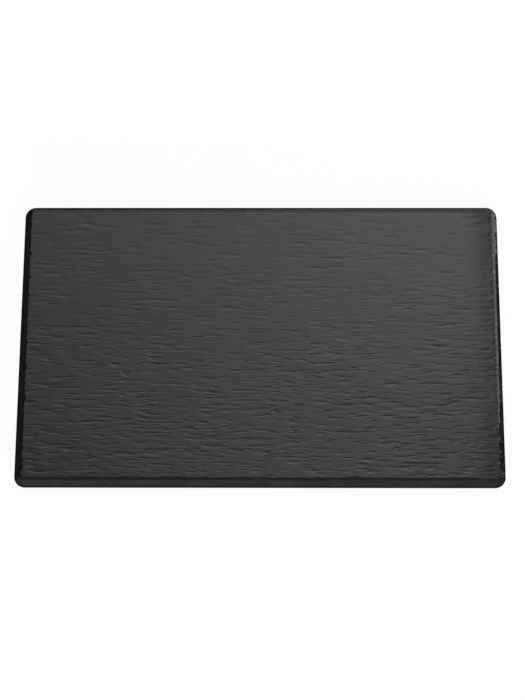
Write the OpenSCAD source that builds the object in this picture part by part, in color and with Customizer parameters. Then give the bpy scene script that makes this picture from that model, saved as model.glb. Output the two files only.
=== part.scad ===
// Flat slate-look serving tray: one thin moulded shell whose skirt slopes out and down to the rim,
// standing on four push-in anti-slip feet. All sizes are in millimetres.
// The origin is the centre of the tray on the table. +X runs along the long side, -Y is the front
// and +Z is up.

/* [Tray] */
// Length over the rim, along X
tray_length = 530; // [250:1:600]
// Width over the rim, along Y
tray_width = 325; // [150:1:400]
// Height of the serving face above the table
tray_height = 15; // [12:0.5:30]
// Thickness of the serving panel
panel_thickness = 4.5; // [3:0.1:6]
// Radius of the serving face's corners, seen from above
face_corner_radius = 4; // [2:0.5:30]

/* [Skirt] */
// Height of the rim above the table
rim_lift = 2; // [1:0.1:4]
// Lean of the skirt from upright, in degrees
skirt_draft = 27; // [10:1:40]
// Thickness of the skirt, square to its slope
skirt_thickness = 4; // [3:0.1:5]
// Radius of the arris where the serving face turns down into the skirt
arris_radius = 3.5; // [1:0.1:5]
// Radius of the rim's outer edge
rim_radius = 1.2; // [0.5:0.1:1.5]
// Radius of the rim's inner edge
rim_inner_radius = 0.8; // [0.2:0.1:1]
// Radius of the fillet between the skirt and the underside of the panel
inner_fillet = 3; // [1:0.1:4]
// Least corner radius of the hollow under the panel
hollow_corner_radius = 1; // [0.5:0.1:20]

/* [Foot sockets] */
// Distance of a foot's centre from each of the two rim edges beside it
foot_inset = 42; // [30:1:70]
// Diameter of a boss at its lower face
boss_diameter = 22; // [20:0.5:30]
// Draft of the boss wall, in degrees
boss_draft = 3; // [1:0.5:8]
// Radius of the boss's lower edge
boss_edge_radius = 0.8; // [0.2:0.1:1]
// Radius of the fillet where the boss meets the panel
boss_fillet = 2; // [0.5:0.1:3]
// Chamfer at the mouth of the socket
socket_chamfer = 0.5; // [0.2:0.1:0.8]

/* [Feet] */
// Diameter of a foot's pad
foot_diameter = 18; // [14:0.5:20]
// Height of the pad, from the table up to the boss that it seats on
foot_height = 4.5; // [4:0.1:6]
// Radius round the base of the pad
foot_edge_radius = 1.5; // [0.5:0.1:2.5]
// Chamfer round the top of the pad
foot_chamfer = 0.4; // [0.2:0.1:0.8]
// Diameter of the stem over its barbs
stem_diameter = 10; // [6:0.5:11]
// Length of the stem above the pad
stem_length = 4.6; // [3:0.1:6]
// Number of barbs round the stem
barb_count = 2; // [1:1:4]
// Depth of the barbs
barb_depth = 0.35; // [0.2:0.05:0.6]
// Plain length of stem below the first barb
stem_root = 0.6; // [0.3:0.1:1]
// Chamfer at the end of the stem
stem_chamfer = 0.8; // [0.3:0.1:1]
// Gap between the barbs and the wall of the socket
stem_clearance = 0.05; // [0.02:0.01:0.2]
// Gap between the end of the stem and the floor of the socket
stem_end_gap = 0.4; // [0.2:0.1:1]

/* [Hidden] */

// Colours of the moulding and of the feet
melamine_black = [0.17, 0.17, 0.175];
silicone_black = [0.08, 0.08, 0.085];

// Round steps of an arc in a section, in degrees
arc_step = 8;
// Facets of a full turn
$fn = 96;
// Overlap of a cut or a boss with what it runs into
overlap = 1;

// Underside of the panel, which is the ceiling of the hollow
ceiling = tray_height - panel_thickness;

// In a section, x is the inset from the rim's outline and y is the height.
// The skirt's outward direction and its upward direction in that plane
skirt_out = [-cos(skirt_draft), sin(skirt_draft)];
skirt_up = [sin(skirt_draft), cos(skirt_draft)];

// Centre of the rim's outer edge radius
rim_centre = [rim_radius, rim_lift + rim_radius];

// Point at a given depth behind the skirt's outer face and at a given height
function behind_skirt(depth, height) =
    let (start = rim_centre + (rim_radius - depth) * skirt_out)
    start + (height - start.y) / skirt_up.y * skirt_up;

// Points of an arc from one angle to another
function arc(centre, radius, from, to) =
    let (steps = ceil(abs(to - from) / arc_step))
    [for (i = [0:steps])
        let (angle = from + (to - from) * i / steps)
        centre + radius * [cos(angle), sin(angle)]];

// Centres of the arris, of the fillet under the panel and of the rim's inner edge
arris_centre = behind_skirt(arris_radius, tray_height - arris_radius);
fillet_centre = behind_skirt(skirt_thickness + inner_fillet, ceiling - inner_fillet);
mouth_centre = behind_skirt(skirt_thickness - rim_inner_radius, rim_lift + rim_inner_radius);

// Rounds a length to a hundredth of a millimetre, so that swept pieces meet on the same plane
function hundredths(length) = round(length * 100) / 100;

// Inset of the corner axes that the outside and the hollow are swept round
face_axis = hundredths(arris_centre.x + face_corner_radius);
hollow_axis = hundredths(max(face_axis, fillet_centre.x + hollow_corner_radius));

// Section of the outside: rim, slope and arris, closed at the corner axis
outside_section = concat(
    arc(rim_centre, rim_radius, 270, 180 - skirt_draft),
    arc(arris_centre, arris_radius, 180 - skirt_draft, 90),
    [[face_axis, tray_height], [face_axis, rim_lift]]
);

// Section of the hollow: mouth, inner slope and fillet, closed at its corner axis
hollow_section = concat(
    [[hollow_axis, rim_lift - overlap], [mouth_centre.x, rim_lift - overlap]],
    arc(mouth_centre, rim_inner_radius, 270, 360 - skirt_draft),
    arc(fillet_centre, inner_fillet, 180 - skirt_draft, 90),
    [[hollow_axis, ceiling]]
);

// Boss: height, drafted wall and the fillet that its height leaves room for
boss_radius = boss_diameter / 2;
boss_height = ceiling - foot_height;
boss_fillet_radius = min(boss_fillet, boss_height - boss_edge_radius);
boss_fillet_centre = [
    boss_radius + (boss_height - boss_fillet_radius) * tan(boss_draft)
        + boss_fillet_radius / cos(boss_draft),
    ceiling - boss_fillet_radius
];

// Socket: the stem with its clearances
socket_radius = stem_diameter / 2 + stem_clearance;
socket_depth = stem_length + stem_end_gap;

// Stem: radius at the foot of the barbs, and the height of each barb
stem_core = stem_diameter / 2 - barb_depth;
barb_height = (stem_length - stem_root - stem_chamfer) / barb_count;

// Sweeps a section round the rim's rounded rectangle and fills the middle
module rim_sweep(section, axis_inset, bottom, top) {
    half_length = hundredths(tray_length / 2 - axis_inset);
    half_width = hundredths(tray_width / 2 - axis_inset);
    radial_section = [for (p = section) [axis_inset - p.x, p.y]];
    for (quarter = [0:3]) {
        reach = quarter % 2 == 0 ? half_length : half_width;
        half_run = quarter % 2 == 0 ? half_width : half_length;
        rotate(90 * quarter) translate([reach, half_run, 0]) {
            rotate_extrude(angle = 90) polygon(radial_section);
            rotate([90, 0, 0]) linear_extrude(2 * half_run) polygon(radial_section);
        }
    }
    translate([-half_length, -half_width, bottom])
        cube([2 * half_length, 2 * half_width, top - bottom]);
}

// Puts a child at one foot: -1 or 1 for left or right and for front or rear
module at_foot(side, end) {
    translate([side * (tray_length / 2 - foot_inset), end * (tray_width / 2 - foot_inset), 0])
        children();
}

// Puts a child at each foot
module at_feet() {
    for (side = [-1, 1], end = [-1, 1]) {
        at_foot(side, end) children();
    }
}

// Drafted boss under the panel, filleted into it
module foot_boss() {
    rotate_extrude() polygon(concat(
        [[0, foot_height]],
        arc([boss_radius - boss_edge_radius, foot_height + boss_edge_radius], boss_edge_radius, 270, 360),
        arc(boss_fillet_centre, boss_fillet_radius, 180 - boss_draft, 90),
        [[boss_fillet_centre.x, ceiling + overlap], [0, ceiling + overlap]]
    ));
}

// Blind bore that takes a foot's stem, with a chamfered mouth
module foot_socket() {
    translate([0, 0, foot_height]) {
        translate([0, 0, -overlap])
            cylinder(h = socket_depth + overlap, r = socket_radius);
        cylinder(h = socket_chamfer, r1 = socket_radius + socket_chamfer, r2 = socket_radius);
    }
}

// The moulding: a hollow slab with a sloping skirt and four foot sockets
module tray_shell() {
    color(melamine_black) difference() {
        union() {
            difference() {
                rim_sweep(outside_section, face_axis, rim_lift, tray_height);
                rim_sweep(hollow_section, hollow_axis, rim_lift - overlap, ceiling);
            }
            at_feet() foot_boss();
        }
        at_feet() foot_socket();
    }
}

// One foot: a round pad with a softened base, and a barbed stem that plugs into its socket
module foot(side, end) {
    pad_radius = foot_diameter / 2;
    stem_end = foot_height + stem_length;
    barbs = [for (i = [0:barb_count - 1])
        let (z = foot_height + stem_root + i * barb_height)
        each [[stem_core, z], [stem_core + barb_depth, z]]];
    color(silicone_black) at_foot(side, end) rotate_extrude() polygon(concat(
        [[0, 0]],
        arc([pad_radius - foot_edge_radius, foot_edge_radius], foot_edge_radius, 270, 360),
        [[pad_radius, foot_height - foot_chamfer], [pad_radius - foot_chamfer, foot_height]],
        [[stem_core, foot_height]],
        barbs,
        [[stem_core, stem_end - stem_chamfer], [stem_core - stem_chamfer, stem_end], [0, stem_end]]
    ));
}

tray_shell();
foot(-1, -1);  // foot_front_left
foot(1, -1);  // foot_front_right
foot(-1, 1);  // foot_rear_left
foot(1, 1);  // foot_rear_right
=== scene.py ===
import math
import random

import bmesh
import bpy
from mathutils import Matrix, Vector, noise


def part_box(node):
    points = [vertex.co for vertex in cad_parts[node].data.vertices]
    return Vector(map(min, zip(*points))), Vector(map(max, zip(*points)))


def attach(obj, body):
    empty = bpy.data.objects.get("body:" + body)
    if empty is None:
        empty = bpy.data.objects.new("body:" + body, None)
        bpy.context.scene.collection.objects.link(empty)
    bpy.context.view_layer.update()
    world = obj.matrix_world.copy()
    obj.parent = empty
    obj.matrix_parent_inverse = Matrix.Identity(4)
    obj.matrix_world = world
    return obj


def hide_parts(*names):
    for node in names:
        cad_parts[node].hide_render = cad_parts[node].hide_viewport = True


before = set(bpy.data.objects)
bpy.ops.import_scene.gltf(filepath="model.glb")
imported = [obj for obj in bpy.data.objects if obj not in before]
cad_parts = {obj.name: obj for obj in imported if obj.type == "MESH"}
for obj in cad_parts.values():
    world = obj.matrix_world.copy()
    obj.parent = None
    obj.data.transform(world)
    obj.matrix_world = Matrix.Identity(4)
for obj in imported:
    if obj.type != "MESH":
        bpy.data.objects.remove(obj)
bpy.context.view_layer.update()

# Camera
# It stands in front of the tray and looks down on it, as the photograph does. The tray lies square in
# the frame, with its long side across.
photo_height_px = 700
focal_length_px = 1993
camera_data = bpy.data.cameras.new("camera")
camera_data.lens = focal_length_px * camera_data.sensor_width / photo_height_px
camera = bpy.data.objects.new("camera", camera_data)
camera.location = (0.0232, -0.6956, 2.0856)
camera.rotation_euler = (math.radians(18.32), math.radians(0.5), math.radians(0.21))
bpy.context.collection.objects.link(camera)
bpy.context.scene.camera = camera

# Tray moulding: outline and section
# One compression moulding of black melamine resin. Its edge turns over a rounded arris into a skirt that
# slopes out and down to a rim, and the underside is hollow with an even wall.
mm = 0.001
shell_low, shell_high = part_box("tray_shell")
half_length = (shell_high.x - shell_low.x) / 2
half_width = (shell_high.y - shell_low.y) / 2
rim_level = shell_low.z
face_level = shell_high.z
panel_thickness = 4.5 * mm
ceiling_level = face_level - panel_thickness
skirt_draft = math.radians(27)
skirt_thickness = 4 * mm
arris_radius = 3.5 * mm
rim_radius = 1.2 * mm
rim_inner_radius = 0.8 * mm
inner_fillet = 3 * mm
face_corner_radius = 4 * mm

# In a section of the skirt, x is the inset from the rim's outline and y is the height.
skirt_out = Vector((-math.cos(skirt_draft), math.sin(skirt_draft)))
skirt_up = Vector((math.sin(skirt_draft), math.cos(skirt_draft)))
rim_centre = Vector((rim_radius, rim_level + rim_radius))


def behind_skirt(depth, height):
    """The point of the section at a depth behind the skirt's outer face and at a height."""
    start = rim_centre + (rim_radius - depth) * skirt_out
    return start + (height - start.y) / skirt_up.y * skirt_up


def arc(centre, radius, first, last, steps):
    """Points along an arc of a section, each with the direction from the centre. Angles in degrees."""
    angles = [math.radians(first + (last - first) * i / steps) for i in range(steps + 1)]
    directions = [Vector((math.cos(a), math.sin(a))) for a in angles]
    return [(centre + radius * d, d) for d in directions]


arris_centre = behind_skirt(arris_radius, face_level - arris_radius)
fillet_centre = behind_skirt(skirt_thickness + inner_fillet, ceiling_level - inner_fillet)
mouth_centre = behind_skirt(skirt_thickness - rim_inner_radius, rim_level + rim_inner_radius)
corner_axis = arris_centre.x + face_corner_radius
slope_angle = 180 - math.degrees(skirt_draft)

# The outside runs from the flat of the face over the arris and down the slope to the rim's land. The
# arris is a hewn facet, nearly flat in its middle, and it turns quickly at both ends.
flat_insets = [1.5 * mm, 2.9 * mm, 3.6 * mm]
arris_steps = 8
arris_bulge = 0.2 * mm
slope_steps = 4
rim_steps = 4
upward = Vector((0, 1))
outside = [
    (Vector((corner_axis - inset, face_level)), upward)
    for inset in flat_insets
]
face_edge = arris_centre + arris_radius * upward
slope_top = arris_centre + arris_radius * skirt_out
slope_foot = rim_centre + rim_radius * skirt_out
facet_out = (upward + skirt_out).normalized()
for i in range(arris_steps + 1):
    down = 0.5 - 0.5 * math.cos(math.pi * i / arris_steps)
    bulge = arris_bulge * (1 - (2 * down - 1) ** 4)
    outside.append((face_edge.lerp(slope_top, down) + bulge * facet_out,
                    upward.lerp(skirt_out, down).normalized()))
outside += [(slope_top.lerp(slope_foot, i / slope_steps), skirt_out) for i in range(1, slope_steps)]
outside += arc(rim_centre, rim_radius, slope_angle, 270, rim_steps)

# The hollow runs from the rim's land up the inside of the skirt to the panel's underside.
mouth_steps = 4
fillet_steps = 6
hollow = arc(mouth_centre, rim_inner_radius, 270, 360 - math.degrees(skirt_draft), mouth_steps)
hollow += arc(fillet_centre, inner_fillet, slope_angle, 90, fillet_steps)

# Tray moulding: riven relief
# The tool was cast from split slate. The face is nearly flat, with thin clefts along the grain, which
# runs with the long side, and the arris has the chips of a hewn edge. All of this is in millimetres.
slate_seed = 41
split = random.Random(slate_seed)
relief_cell = 8
length_mm = half_length / mm
width_mm = half_width / mm


def smooth_step(low, high, value):
    """0 below low, 1 above high, and a smooth rise between them."""
    t = min(max((value - low) / (high - low), 0), 1)
    return t * t * (3 - 2 * t)


def cells(low_x, high_x, low_y, high_y):
    """The cells of a coarse plan grid that a box touches."""
    for column in range(math.floor(low_x / relief_cell), math.floor(high_x / relief_cell) + 1):
        for row in range(math.floor(low_y / relief_cell), math.floor(high_y / relief_cell) + 1):
            yield column, row


def noise_at(x, y, run, rise, layer):
    """Noise from about -1 to 1 at a place, with a grain of the given run and rise. Layers are unlike."""
    return noise.noise(Vector((x / run, y / rise, layer)))


def deepest_cleft(nearness):
    """Depth of the deepest clefts, from the rear of the face at 0 to its front at 1."""
    return 0.375 - 0.265 * nearness + 0.44 * nearness * nearness


# A cleft has a steep wall towards the rear and a gentle one towards the front. Clefts crowd in patches, and
# more of the tries come to something towards the front. The length of a half is drawn by its logarithm.
cleft_tries = 4900
half_log_middle = 1.88
half_log_spread = 0.6
shortest_half = 3.4
longest_half = 36
least_depth_share = 0.3
depth_curve = 1.2
end_gain = 0.05
breadth_range = (1.05, 1.7)
lean_spread = 0.025
sparse_share = 0.2
rear_share = 0.18
clefts_in = {}
for attempt in range(cleft_tries):
    x = split.uniform(-length_mm, length_mm)
    y = split.uniform(-width_mm, width_mm)
    crowding = smooth_step(-0.4, 0.4, noise_at(x, y, 44, 24, 11.3))
    nearness = 0.5 - 0.5 * y / width_mm
    half = min(max(split.lognormvariate(half_log_middle, half_log_spread), shortest_half), longest_half)
    depth = split.uniform(least_depth_share, 1) ** depth_curve * deepest_cleft(nearness)
    depth *= 1 - end_gain * x / length_mm
    breadth = split.uniform(*breadth_range)
    lean = split.gauss(0, lean_spread)
    crowd_chance = sparse_share + (1 - sparse_share) * crowding
    near_chance = rear_share + (1 - rear_share) * nearness
    if split.random() > crowd_chance * near_chance:
        continue
    rear_wall = breadth * (1.3 - 0.3 * y / width_mm)
    front_wall = breadth * (2.5 + 0.9 * y / width_mm)
    spread = front_wall + abs(lean) * half
    for cell in cells(x - half, x + half, y - spread, y + spread):
        clefts_in.setdefault(cell, []).append((x, y, half, lean, depth, rear_wall, front_wall))

# Between the clefts the face ripples and swells a little, and the clefts drift off their straight lines.
base_depth = 0.14
ripple_depth = 0.02
swell_depth = 0.08
slow_drift = 0.6
quick_drift = 0.28


def riven_depth(x, y):
    """Depth of the slate relief at a place of the face."""
    level = y + slow_drift * noise_at(x, y, 34, 17, 3.7) + quick_drift * noise_at(x, y, 7, 9, 8.9)
    cleft = 0
    for cleft_x, cleft_y, half, lean, depth, rear_wall, front_wall in clefts_in.get(
            (math.floor(x / relief_cell), math.floor(level / relief_cell)), ()):
        along = (x - cleft_x) / half
        if abs(along) < 1:
            across = level - cleft_y - lean * (x - cleft_x)
            wall = rear_wall if across > 0 else front_wall
            if abs(across) < wall:
                share = 0.5 + 0.5 * math.cos(math.pi * across / wall)
                cleft = max(cleft, depth * share * (1 - along * along) ** 2)
    ripple = noise_at(x, level, 16, 4.2, 5.1)
    swell = noise_at(x, y, 90, 45, 1.3)
    return base_depth + cleft + ripple_depth * ripple + swell_depth * swell


# The right end of the face dips, over a run that starts at an inset from the rim.
dip_inset = 50
dip_run = 42
dip_depth = 1.75
dip_corner_gain = 1.1
dip_curve = 2.4


def fall(x, y):
    """How far the face has sunk towards its right end, most at the corners."""
    full_fall = dip_depth + dip_corner_gain * (y / width_mm) ** 2
    return full_fall * max(0, (x - length_mm + dip_inset) / dip_run) ** dip_curve


# Chips are round bites out of the edge: along the facet, most of them on the right, and along the right
# rim. Each row gives a side, a count, the insets between which the bites lie, their least and largest
# radius, and their depth as a share of the radius.
chip_rows = [
    ((1, 0), 110, (3.2, 8.2), (0.9, 3.0), (0.12, 0.3)),
    ((1, 0), 90, (0.3, 4.5), (0.7, 1.7), (0.14, 0.32)),
    ((0, 1), 60, (5.5, 10), (1.5, 5.0), (0.02, 0.06)),
    ((-1, 0), 25, (7, 9.5), (0.8, 1.6), (0.06, 0.12)),
    ((0, -1), 40, (6.5, 9.5), (1.5, 4.5), (0.02, 0.045)),
]
chips_in = {}
for (side_x, side_y), count, insets, radii, shares in chip_rows:
    for number in range(count):
        along = split.uniform(-1, 1)
        inset = split.uniform(*insets)
        bite = radii[0] * (radii[1] / radii[0]) ** split.random()
        depth = bite * split.uniform(*shares)
        x = side_x * (length_mm - inset) if side_x else along * (length_mm - inset)
        y = side_y * (width_mm - inset) if side_y else along * (width_mm - inset)
        for cell in cells(x - bite, x + bite, y - bite, y + bite):
            chips_in.setdefault(cell, []).append((x, y, bite, depth))


def chip_depth(x, y):
    """Depth of the chips along the hewn edge."""
    deepest = 0
    for chip_x, chip_y, bite, depth in chips_in.get(
            (math.floor(x / relief_cell), math.floor(y / relief_cell)), ()):
        distance = math.hypot(x - chip_x, y - chip_y) / bite
        if distance < 1:
            deepest = max(deepest, depth * (1 - distance * distance))
    return deepest


# Tray moulding: mesh
# A fine grid for the face, rings of the section round it for the skirt, and plain walls for the hollow.
# Each foot's boss hangs from the panel, with a blind bore up its middle for the foot's stem.
reach_x = half_length - corner_axis
reach_y = half_width - corner_axis
column_count = 156
row_count = 440
corner_steps = 14
moulding = bmesh.new()
chip_layer = moulding.verts.layers.float.new("chip")
slide_out = math.tan(skirt_draft)
scar_from = 0.12
scar_full = 0.4


def pressed(place, normal, riven_share, chip_share, fall_share, out):
    """A new corner of the mesh, sunk with the face's fall and pressed in along its normal."""
    x, y, z = place / mm
    sunk = fall_share * fall(x, y) * mm
    place = place + out * sunk * slide_out - Vector((0, 0, sunk))
    x, y, z = place / mm
    chipped = chip_share * chip_depth(x, y) if chip_share > 0 else 0
    depth = riven_share * riven_depth(x, y) + chipped
    corner = moulding.verts.new(place - normal * depth * mm)
    corner[chip_layer] = smooth_step(scar_from, scar_full, chipped)
    return corner


def grid_place(i, j):
    """Plan position of a grid corner of the face."""
    return Vector((reach_x * (2 * i / column_count - 1), reach_y * (2 * j / row_count - 1)))


face_up = Vector((0, 0, 1))
face_rise = Vector((0, 0, face_level))
face_grid = [
    [
        pressed(grid_place(i, j).to_3d() + face_rise, face_up, 1, 0, 1, Vector())
        for j in range(row_count + 1)
    ]
    for i in range(column_count + 1)
]
faces_of_face = []
for i in range(column_count):
    for j in range(row_count):
        faces_of_face.append(moulding.faces.new((
            face_grid[i][j], face_grid[i + 1][j], face_grid[i + 1][j + 1], face_grid[i][j + 1])))

# Stations go round the face anticlockwise. Each has a corner of the grid and a heading away from it.
edges_of_grid = [
    [(column_count, j) for j in range(row_count + 1)],
    [(i, row_count) for i in reversed(range(column_count + 1))],
    [(0, j) for j in reversed(range(row_count + 1))],
    [(i, 0) for i in range(column_count + 1)],
]
stations = []
corner_stations = []
for quarter, edge in enumerate(edges_of_grid):
    turn = [(edge[-1], 90 * (quarter + step / corner_steps)) for step in range(corner_steps + 1)]
    stations += [(place, 90 * quarter) for place in edge] + turn[1:-1]
    corner_stations += turn

# The face's edge rolls over a little on the left and at the front.
roll_width = 1.3 * mm
roll_depth = 0.18 * mm
roll_blend = 0.6


def ring(places, point, direction, riven_share, chip_share, fall_share):
    """Corners round the tray at one point of the section."""
    corners = []
    inside = point.x - face_edge.x
    roll = roll_depth * max(0, 1 - abs(inside) / roll_width) ** 2
    for (i, j), heading in places:
        out = Vector((math.cos(math.radians(heading)), math.sin(math.radians(heading)), 0))
        rolled = roll * smooth_step(-roll_blend, roll_blend, -out.x - out.y)
        foot = grid_place(i, j).to_3d() + Vector((0, 0, point.y - rolled))
        normal = out * -direction.x + Vector((0, 0, direction.y))
        place = foot + out * (corner_axis - point.x)
        corners.append(pressed(place, normal, riven_share, chip_share, fall_share, out))
    return corners


def join_rings(upper, lower):
    """Faces between two rings, with a triangle where the upper ring stands still."""
    made = []
    for k in range(len(upper)):
        around = [lower[k - 1], lower[k], upper[k], upper[k - 1]]
        kept = [corner for n, corner in enumerate(around) if corner is not around[n - 1]]
        made.append(moulding.faces.new(kept))
    return made


rings = [[face_grid[i][j] for (i, j), heading in stations]]
faces_of_skirt = []
facet_start = len(flat_insets)
facet_end = facet_start + arris_steps
nibble_rings = 2.5
nibble_run = 7


def last_polished(place, heading):
    """Index of the last ring of the section that has the face's polish at a station."""
    across, along = grid_place(*place) / mm
    nibble = nibble_rings * noise_at(across + along, heading, nibble_run, 1, 2.1)
    if heading < 45 or heading > 315:
        # On the right it comes further down the facet from front to rear, and past it at the rear corner.
        rings_gained = 7 * smooth_step(-135, -40, along) + 2.6 * smooth_step(90, 115, along)
        return facet_end + min(round(rings_gained - 8 + nibble), 3)
    if heading < 135:
        # At the rear it comes part of the way down the facet, further towards the right.
        rings_gained = 3.2 + 2.2 * smooth_step(-250, 250, across)
        return facet_start + max(round(rings_gained + 0.7 * nibble), -1)
    if heading < 225:
        # On the left it stops short of the facet, sooner towards the front.
        rings_lost = 0.8 * smooth_step(-80, 60, -along)
        return facet_start + min(round(nibble - 1.3 - rings_lost), -1)
    return facet_start - 1


# The relief fades out down the facet and the upper slope, and the chips fade out round the rim.
for index, (point, direction) in enumerate(outside):
    fallen = (face_level - point.y) / (face_level - rim_level)
    riven_share = 1 - smooth_step(0.02, 0.45, fallen)
    chip_share = smooth_step(rim_level, rim_level + rim_radius, point.y)
    fall_share = min(max((point.y - slope_foot.y) / (slope_top.y - slope_foot.y), 0), 1)
    rings.append(ring(stations, point, direction, riven_share, chip_share, fall_share))
    for face, (place, heading) in zip(join_rings(rings[-2], rings[-1]), stations):
        on_face = index <= last_polished(place, heading)
        (faces_of_face if on_face else faces_of_skirt).append(face)

hollow_rings = [ring(corner_stations, point, direction, 0, 0, 0) for point, direction in hollow]
faces_of_underside = []
for upper, lower in zip(hollow_rings, hollow_rings[1:]):
    faces_of_underside += join_rings(upper, lower)


def loop_edges(corners):
    """The edges round a closed row of corners, made where they don't exist yet."""
    pairs = zip(corners, corners[1:] + corners[:1])
    return [moulding.edges.get(pair) or moulding.edges.new(pair) for pair in pairs]


def fill_level(loops):
    """Fills the flat between an outer loop and the loops inside it."""
    edges = [edge for loop in loops for edge in loop_edges(loop)]
    made = bmesh.ops.triangle_fill(moulding, use_beauty=True, edges=edges, normal=(0, 0, -1))
    return [item for item in made["geom"] if isinstance(item, bmesh.types.BMFace)]


# The boss and its bore, from the panel down the outside and back up inside
foot_height = 4.5 * mm
boss_radius = 11 * mm
boss_draft = 3
boss_edge = 0.8 * mm
boss_fillet = 2 * mm
bore_radius = 5.05 * mm
bore_depth = 5 * mm
bore_chamfer = 0.5 * mm
boss_turn_steps = 64
boss_fillet_steps = 5
boss_edge_steps = 4
boss_rise = math.tan(math.radians(boss_draft)) * (ceiling_level - boss_fillet - foot_height)
fillet_at = Vector((boss_radius + boss_rise + boss_fillet / math.cos(math.radians(boss_draft)),
                    ceiling_level - boss_fillet))
edge_at = Vector((boss_radius - boss_edge, foot_height + boss_edge))
boss_arcs = arc(fillet_at, boss_fillet, 90, 180 - boss_draft, boss_fillet_steps)
boss_arcs += arc(edge_at, boss_edge, 0, -90, boss_edge_steps)
boss_section = [point for point, direction in boss_arcs]
boss_section += [
    Vector((bore_radius + bore_chamfer, foot_height)),
    Vector((bore_radius, foot_height + bore_chamfer)),
    Vector((bore_radius, foot_height + bore_depth)),
]
foot_nodes = ["foot_front_left", "foot_front_right", "foot_rear_left", "foot_rear_right"]
boss_roots = []
for node in foot_nodes:
    foot_low, foot_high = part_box(node)
    centre = (foot_low + foot_high) / 2
    boss_rings = []
    for point in boss_section:
        boss_rings.append([
            moulding.verts.new((
                centre.x + point.x * math.cos(math.tau * k / boss_turn_steps),
                centre.y + point.x * math.sin(math.tau * k / boss_turn_steps),
                point.y))
            for k in range(boss_turn_steps)
        ])
    for upper, lower in zip(boss_rings, boss_rings[1:]):
        faces_of_underside += join_rings(upper, lower)
    faces_of_underside.append(moulding.faces.new(reversed(boss_rings[-1])))
    boss_roots.append(boss_rings[0])

faces_of_underside += fill_level([rings[-1], hollow_rings[0]])
faces_of_underside += fill_level([hollow_rings[-1]] + boss_roots)
for material_index, group in enumerate([faces_of_face, faces_of_skirt, faces_of_underside]):
    for face in group:
        face.material_index = material_index
        face.smooth = True
bmesh.ops.recalc_face_normals(moulding, faces=moulding.faces)
crease = math.radians(38)
for edge in moulding.edges:
    edge.smooth = edge.calc_face_angle(0) < crease
moulding_mesh = bpy.data.meshes.new("tray_moulding")
moulding.to_mesh(moulding_mesh)
moulding.free()
tray_moulding = bpy.data.objects.new("tray_moulding", moulding_mesh)
bpy.context.collection.objects.link(tray_moulding)

# Tray moulding: finish
# Black melamine resin. The face is satin with fine clefts between the deep ones and worn dull along two
# edges. The skirt is matt, with painted shade along its foot and a painted dark line on the arris, and
# rubbed along the arris. The pale chip scars are partly the paler body and partly a painted highlight on
# the right.
# The underside has the low gloss of a polished tool.
black = (0, 0, 0, 1)


def node_group(name, inputs, outputs):
    """A shader node group with its sockets, ready for its nodes."""
    group = bpy.data.node_groups.new(name, "ShaderNodeTree")
    for socket_name, kind, value in inputs:
        socket = group.interface.new_socket(socket_name, in_out="INPUT", socket_type="NodeSocket" + kind)
        socket.default_value = value
    for socket_name, kind in outputs:
        group.interface.new_socket(socket_name, in_out="OUTPUT", socket_type="NodeSocket" + kind)
    return group, group.nodes.new("NodeGroupInput"), group.nodes.new("NodeGroupOutput")


def math_node(tree, operation, first, second):
    """A Math node on two inputs, each a socket or a number. Gives its output."""
    node = tree.nodes.new("ShaderNodeMath")
    node.operation = operation
    for socket, value in zip(node.inputs, (first, second)):
        if isinstance(value, bpy.types.NodeSocket):
            tree.links.new(value, socket)
        else:
            socket.default_value = value
    return node.outputs[0]


def noise_node(tree, vector, scale, detail):
    """A Noise Texture on a vector. The scale is a socket or a number. Gives its value."""
    node = tree.nodes.new("ShaderNodeTexNoise")
    node.inputs["Detail"].default_value = detail
    tree.links.new(vector, node.inputs["Vector"])
    if isinstance(scale, bpy.types.NodeSocket):
        tree.links.new(scale, node.inputs["Scale"])
    else:
        node.inputs["Scale"].default_value = scale
    return node.outputs[0]


def ramp_node(tree, value, low, high, from_value, to_value):
    """A smooth Map Range of a value. The two ends are sockets or numbers. Gives its result."""
    node = tree.nodes.new("ShaderNodeMapRange")
    node.interpolation_type = "SMOOTHSTEP"
    tree.links.new(value, node.inputs["Value"])
    node.inputs["From Min"].default_value = low
    node.inputs["From Max"].default_value = high
    for socket, end in ((node.inputs["To Min"], from_value), (node.inputs["To Max"], to_value)):
        if isinstance(end, bpy.types.NodeSocket):
            tree.links.new(end, socket)
        else:
            socket.default_value = end
    return node.outputs[0]


def mix_node(tree, share, first, second):
    """A Mix of two colours, each a socket or a colour. Gives its result."""
    node = tree.nodes.new("ShaderNodeMix")
    node.data_type = "RGBA"
    tree.links.new(share, node.inputs[0])
    for socket, colour in ((node.inputs[6], first), (node.inputs[7], second)):
        if isinstance(colour, bpy.types.NodeSocket):
            tree.links.new(colour, socket)
        else:
            socket.default_value = (*colour, 1)
    return node.outputs[2]


# Clouds of slightly different colour and polish, as moulded resin has
resin_mottle, mottle_in, mottle_out = node_group(
    "resin_mottle",
    [("Scale", "Float", 30), ("Dark", "Color", black), ("Light", "Color", black),
     ("Polished", "Float", 0.3), ("Dull", "Float", 0.4)],
    [("Color", "Color"), ("Roughness", "Float")])
mottle_place = resin_mottle.nodes.new("ShaderNodeTexCoord").outputs["Object"]
clouds = noise_node(resin_mottle, mottle_place, mottle_in.outputs["Scale"], 4)
smear_fineness = 6
finer_scale = math_node(resin_mottle, "MULTIPLY", mottle_in.outputs["Scale"], smear_fineness)
smears = noise_node(resin_mottle, mottle_place, finer_scale, 3)
cloud_share = ramp_node(resin_mottle, clouds, 0.32, 0.68, 0, 1)
resin_mottle.links.new(
    mix_node(resin_mottle, cloud_share, mottle_in.outputs["Dark"], mottle_in.outputs["Light"]),
    mottle_out.inputs["Color"])
resin_mottle.links.new(
    ramp_node(resin_mottle, smears, 0.3, 0.7, mottle_in.outputs["Polished"], mottle_in.outputs["Dull"]),
    mottle_out.inputs["Roughness"])

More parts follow.
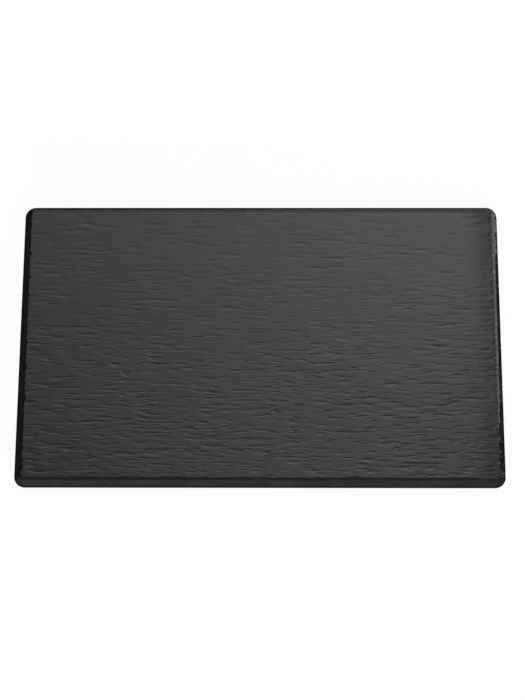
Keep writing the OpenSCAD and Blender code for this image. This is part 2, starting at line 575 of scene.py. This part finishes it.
# The fine tooth of a pressed surface. Its height is in millimetres.
fine_tooth, tooth_in, tooth_out = node_group(
    "fine_tooth", [("Scale", "Float", 900), ("Depth", "Float", 0.01)], [("Height", "Float")])
tooth_place = fine_tooth.nodes.new("ShaderNodeTexCoord").outputs["Object"]
tooth = noise_node(fine_tooth, tooth_place, tooth_in.outputs["Scale"], 3)
fine_tooth.links.new(math_node(fine_tooth, "MULTIPLY", tooth, tooth_in.outputs["Depth"]),
                     tooth_out.inputs["Height"])

# Where a chip has opened the surface, broken up by the grain of the body. Its paler colour is partly the
# body and partly a painted highlight along the right edge, where most chips lie.
chip_scar_and_highlight, scar_in, scar_out = node_group("chip_scar_and_highlight", [("Scale", "Float", 500)], [("Mask", "Float")])
scar_place = chip_scar_and_highlight.nodes.new("ShaderNodeTexCoord").outputs["Object"]
chip_attribute = chip_scar_and_highlight.nodes.new("ShaderNodeAttribute")
chip_attribute.attribute_name = "chip"
scar_grain = noise_node(chip_scar_and_highlight, scar_place, scar_in.outputs["Scale"], 2)
scar_share = ramp_node(chip_scar_and_highlight, scar_grain, 0.35, 0.65, 0.25, 1)
chip_scar_and_highlight.links.new(math_node(chip_scar_and_highlight, "MULTIPLY", chip_attribute.outputs["Fac"], scar_share),
                    scar_out.inputs["Mask"])


def finish(name, shine):
    """A new material with its shader's plain shine set."""
    material = bpy.data.materials.new(name)
    material.use_nodes = True
    shader = material.node_tree.nodes["Principled BSDF"]
    shader.inputs["Specular IOR Level"].default_value = shine
    return material.node_tree, shader, material


def placed(tree, group, values):
    """A node group placed in a material with its own values."""
    node = tree.nodes.new("ShaderNodeGroup")
    node.node_tree = group
    for socket_name, value in values.items():
        node.inputs[socket_name].default_value = (*value, 1) if isinstance(value, tuple) else value
    return node


def press(tree, shader, height):
    """Bumps a shader by a height in millimetres."""
    bump = tree.nodes.new("ShaderNodeBump")
    bump.inputs["Distance"].default_value = mm
    tree.links.new(height, bump.inputs["Height"])
    tree.links.new(bump.outputs[0], shader.inputs["Normal"])


def even_finish(name, shine, mottle, tooth):
    """A material with no more than mottle and tooth."""
    tree, shader, material = finish(name, shine)
    mottle_node = placed(tree, resin_mottle, mottle)
    tooth_node = placed(tree, fine_tooth, tooth)
    tree.links.new(mottle_node.outputs["Color"], shader.inputs["Base Color"])
    tree.links.new(mottle_node.outputs["Roughness"], shader.inputs["Roughness"])
    press(tree, shader, tooth_node.outputs["Height"])
    return material


# Face: the fine clefts lie along the grain and keep to the patches where the split tore. They are deepest
# at the front. The polish is worn along the rear and left edges.
face_dark = (0.0105, 0.0105, 0.0107)
face_light = (0.013, 0.013, 0.0132)
# Paler body in the chips, partly a painted highlight along the right edge
face_chip_and_highlight = (0.05, 0.05, 0.051)
patch_scale = 30
waver_width = 1.2 * mm
tear_run = 22
tear_rise = 3.9
front_tear = 0.6
rear_tear = 0.06
rear_wear_width = 3.5 * mm
left_wear_width = 3 * mm
worn_roughness = 0.3
face_tree, face_shader, melamine_face = finish("melamine_face", 0.5)
face_mottle = placed(face_tree, resin_mottle, {
    "Scale": 32, "Dark": face_dark, "Light": face_light, "Polished": 0.3, "Dull": 0.34})
face_tooth = placed(face_tree, fine_tooth, {"Scale": 1500, "Depth": 0.01})
face_scar_and_highlight = placed(face_tree, chip_scar_and_highlight, {"Scale": 450})
face_place = face_tree.nodes.new("ShaderNodeTexCoord").outputs["Object"]
waver = noise_node(face_tree, face_place, patch_scale, 4)
waver_offset = face_tree.nodes.new("ShaderNodeCombineXYZ")
face_tree.links.new(math_node(face_tree, "MULTIPLY", waver, waver_width), waver_offset.inputs["Y"])
wavered = face_tree.nodes.new("ShaderNodeVectorMath")
face_tree.links.new(face_place, wavered.inputs[0])
face_tree.links.new(waver_offset.outputs[0], wavered.inputs[1])
along_grain = face_tree.nodes.new("ShaderNodeMapping")
along_grain.inputs["Scale"].default_value = (1 / tear_run, 1 / tear_rise, 0)
face_tree.links.new(wavered.outputs[0], along_grain.inputs["Vector"])
tears = noise_node(face_tree, along_grain.outputs[0], 1 / mm, 1.5)
patches = noise_node(face_tree, face_place, patch_scale, 1)
torn_patches = ramp_node(face_tree, patches, 0.4, 0.62, 0.45, 1)
face_axes = face_tree.nodes.new("ShaderNodeSeparateXYZ")
face_tree.links.new(face_place, face_axes.inputs[0])
tear_reach = ramp_node(face_tree, face_axes.outputs["Y"], -half_width, half_width, -front_tear, -rear_tear)
torn = math_node(face_tree, "MULTIPLY", ramp_node(face_tree, tears, 0.53, 0.7, 0, 1), torn_patches)
tear_depth = math_node(face_tree, "MULTIPLY", torn, tear_reach)
press(face_tree, face_shader, math_node(face_tree, "ADD", tear_depth, face_tooth.outputs["Height"]))
rear_edge = half_width - face_edge.x
left_edge = face_edge.x - half_length
rear_wear = ramp_node(
    face_tree, face_axes.outputs["Y"], rear_edge - rear_wear_width, rear_edge, 0, worn_roughness)
left_wear = ramp_node(
    face_tree, face_axes.outputs["X"], left_edge, left_edge + left_wear_width, worn_roughness, 0)
edge_wear = math_node(face_tree, "MAXIMUM", rear_wear, left_wear)
face_tree.links.new(math_node(face_tree, "ADD", face_mottle.outputs["Roughness"], edge_wear),
                    face_shader.inputs["Roughness"])
face_colour = mix_node(face_tree, face_scar_and_highlight.outputs["Mask"], face_mottle.outputs["Color"], face_chip_and_highlight)
face_tree.links.new(face_colour, face_shader.inputs["Base Color"])

# Skirt: matt from the hewn tool, with painted shade darkening it along the foot, a painted dark line on the
# arris, and rubbed a little paler here and there where the slope meets the arris
skirt_dark = (0.0108, 0.0108, 0.0111)
skirt_light = (0.014, 0.014, 0.0143)
# Painted shade: a near-black colour that stands for the shade along the skirt's foot beside the table
skirt_foot_shade = (0.002, 0.002, 0.0021)
# Paler body in the chips, partly a painted highlight along the right edge
skirt_chip_and_highlight = (0.085, 0.085, 0.087)
# Painted shade: a darker black on the arris that makes the dark line along it
arris_painted_shade = (0.0105, 0.0105, 0.0107)
rubbed_black = (0.017, 0.017, 0.0173)
skirt_tree, skirt_shader, melamine_skirt = finish("melamine_skirt", 0)
skirt_mottle = placed(skirt_tree, resin_mottle, {
    "Scale": 45, "Dark": skirt_dark, "Light": skirt_light, "Polished": 0.7, "Dull": 0.85})
skirt_tooth = placed(skirt_tree, fine_tooth, {"Scale": 700, "Depth": 0.06})
skirt_scar_and_highlight = placed(skirt_tree, chip_scar_and_highlight, {"Scale": 450})
skirt_place = skirt_tree.nodes.new("ShaderNodeTexCoord").outputs["Object"]
skirt_axes = skirt_tree.nodes.new("ShaderNodeSeparateXYZ")
skirt_tree.links.new(skirt_place, skirt_axes.inputs[0])
skirt_height = skirt_axes.outputs["Z"]
# Painted shade along the foot: the skirt goes over to the foot colour below 5 mm above the rim
above_foot_shade = ramp_node(skirt_tree, skirt_height, rim_level + 2 * mm, rim_level + 5 * mm, 0, 1)
# Painted shade: the arris above the slope takes the darker black
arris_shade_share = ramp_node(skirt_tree, skirt_height, slope_top.y + 0.2 * mm, slope_top.y + 0.9 * mm, 0, 1)
skirt_side = mix_node(skirt_tree, above_foot_shade, skirt_foot_shade, skirt_mottle.outputs["Color"])
skirt_with_arris_shade = mix_node(skirt_tree, arris_shade_share, skirt_side, arris_painted_shade)
above_edge = math_node(skirt_tree, "SUBTRACT", skirt_height, slope_top.y)
off_edge = math_node(skirt_tree, "ABSOLUTE", above_edge, 0)
rubbed_line = ramp_node(skirt_tree, off_edge, 0.15 * mm, 0.6 * mm, 1, 0)
rub = ramp_node(skirt_tree, noise_node(skirt_tree, skirt_place, 120, 3), 0.42, 0.62, 0.2, 1)
rubbed = math_node(skirt_tree, "MULTIPLY", rubbed_line, rub)
skirt_rubbed = mix_node(skirt_tree, rubbed, skirt_with_arris_shade, rubbed_black)
skirt_colour = mix_node(skirt_tree, skirt_scar_and_highlight.outputs["Mask"], skirt_rubbed, skirt_chip_and_highlight)
skirt_tree.links.new(skirt_colour, skirt_shader.inputs["Base Color"])
skirt_tree.links.new(skirt_mottle.outputs["Roughness"], skirt_shader.inputs["Roughness"])
press(skirt_tree, skirt_shader, skirt_tooth.outputs["Height"])

# Underside: smoother than the face, from a polished tool
underside_dark = (0.0105, 0.0105, 0.0107)
underside_light = (0.0135, 0.0135, 0.0138)
melamine_underside = even_finish(
    "melamine_underside", 0.5,
    {"Scale": 22, "Dark": underside_dark, "Light": underside_light, "Polished": 0.27, "Dull": 0.36},
    {"Scale": 900, "Depth": 0.015})

for material in (melamine_face, melamine_skirt, melamine_underside):
    tray_moulding.data.materials.append(material)
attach(tray_moulding, "root")
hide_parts("tray_shell")

# Feet
# Four push-in pads of black silicone rubber, which keep the tray from sliding and hold its rim clear of
# the table. They keep the form that they have in the construction.
silicone_dark = (0.0095, 0.0095, 0.0098)
silicone_light = (0.0165, 0.0165, 0.017)
silicone = even_finish(
    "silicone_foot", 0.3,
    {"Scale": 150, "Dark": silicone_dark, "Light": silicone_light, "Polished": 0.58, "Dull": 0.74},
    {"Scale": 1800, "Depth": 0.03})
for node in foot_nodes:
    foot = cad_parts[node]
    foot.data.materials.clear()
    foot.data.materials.append(silicone)

# Stage
# A floor that looks white and keeps a faint shadow, under five soft panels, brightest at the rear and on
# the right. One light stands on the right and a low one in front, which no reflection shows. The room is
# pale near the floor and dim above.
floor_size = 24
floor_mesh = bpy.data.meshes.new("floor")
floor_level = -0.1 * mm
floor_corners = [(-floor_size, -floor_size, floor_level), (floor_size, -floor_size, floor_level),
                 (floor_size, floor_size, floor_level), (-floor_size, floor_size, floor_level)]
floor_mesh.from_pydata(floor_corners, [], [(0, 1, 2, 3)])
floor = bpy.data.objects.new("floor", floor_mesh)
bpy.context.collection.objects.link(floor)
floor_white = (0.88, 0.88, 0.88, 1)
white_share = 0.94
floor_tree, floor_shader, white_floor = finish("white_floor", 0)
floor_shader.inputs["Base Color"].default_value = floor_white
floor_shader.inputs["Roughness"].default_value = 0.9
rays = floor_tree.nodes.new("ShaderNodeLightPath").outputs
seen = math_node(floor_tree, "MAXIMUM", rays["Is Camera Ray"], rays["Is Glossy Ray"])
seen_through = math_node(floor_tree, "MAXIMUM", seen, rays["Is Transmission Ray"])
whitened = math_node(floor_tree, "MULTIPLY", seen_through, white_share)
white_light = floor_tree.nodes.new("ShaderNodeEmission")
floor_blend = floor_tree.nodes.new("ShaderNodeMixShader")
floor_tree.links.new(whitened, floor_blend.inputs[0])
floor_tree.links.new(floor_shader.outputs[0], floor_blend.inputs[1])
floor_tree.links.new(white_light.outputs[0], floor_blend.inputs[2])
floor_tree.links.new(floor_blend.outputs[0], floor_tree.nodes["Material Output"].inputs["Surface"])
floor.data.materials.append(white_floor)


def soft_light(name, place, aim, width, height, radiance):
    """An area lamp at a place, turned to a point and as bright as its radiance says."""
    data = bpy.data.lights.new(name, "AREA")
    data.shape = "RECTANGLE"
    data.size = width
    data.size_y = height
    data.energy = radiance * math.pi * width * height
    lamp = bpy.data.objects.new(name, data)
    lamp.location = place
    lamp.rotation_euler = (Vector(aim) - Vector(place)).to_track_quat("-Z", "Y").to_euler()
    lamp.visible_camera = False
    bpy.context.collection.objects.link(lamp)
    return lamp


# The panels face straight down. Each row gives a name, a place, a width, a depth and a radiance.
panels = [
    ("overhead_panel", (0.29, 1.03, 2.0), 1.05, 2.33, 1.15),
    ("right_panel", (0.52, 1.3, 2.03), 0.69, 1.37, 1.3),
    ("rear_panel", (-0.08, 3.05, 2.06), 1.52, 3.53, 1.59),
    ("left_panel", (-0.4, 1.0, 2.09), 0.27, 1.39, 0.85),
    ("far_left_panel", (-0.97, 1.0, 2.12), 0.84, 1.39, 0.42),
]
for name, place, width, depth, radiance in panels:
    soft_light(name, place, (*place[:2], 0), width, depth, radiance)
soft_light("side_light", (1.9, 0.7, 1.0), (0.2, 0, 0), 1.2, 0.9, 3.4)
front_light = soft_light("front_light", (-0.05, -1.5, 0.16), (0, 0, 0), 1.1, 0.3, 41)
front_light.visible_glossy = False
pale_strength = 1
dim_strength = 0.09
dim_from = 0.8
room = bpy.data.worlds.new("studio")
room.use_nodes = True
room_tree = room.node_tree
room_shader = room_tree.nodes["Background"]
room_shader.inputs["Color"].default_value = (1, 1, 1, 1)
room_axes = room_tree.nodes.new("ShaderNodeSeparateXYZ")
room_tree.links.new(room_tree.nodes.new("ShaderNodeTexCoord").outputs["Generated"], room_axes.inputs[0])
room_strength = ramp_node(room_tree, room_axes.outputs["Z"], 0, dim_from, pale_strength, dim_strength)
room_tree.links.new(room_strength, room_shader.inputs["Strength"])
bpy.context.scene.world = room
bpy.context.scene.view_settings.view_transform = "Standard"
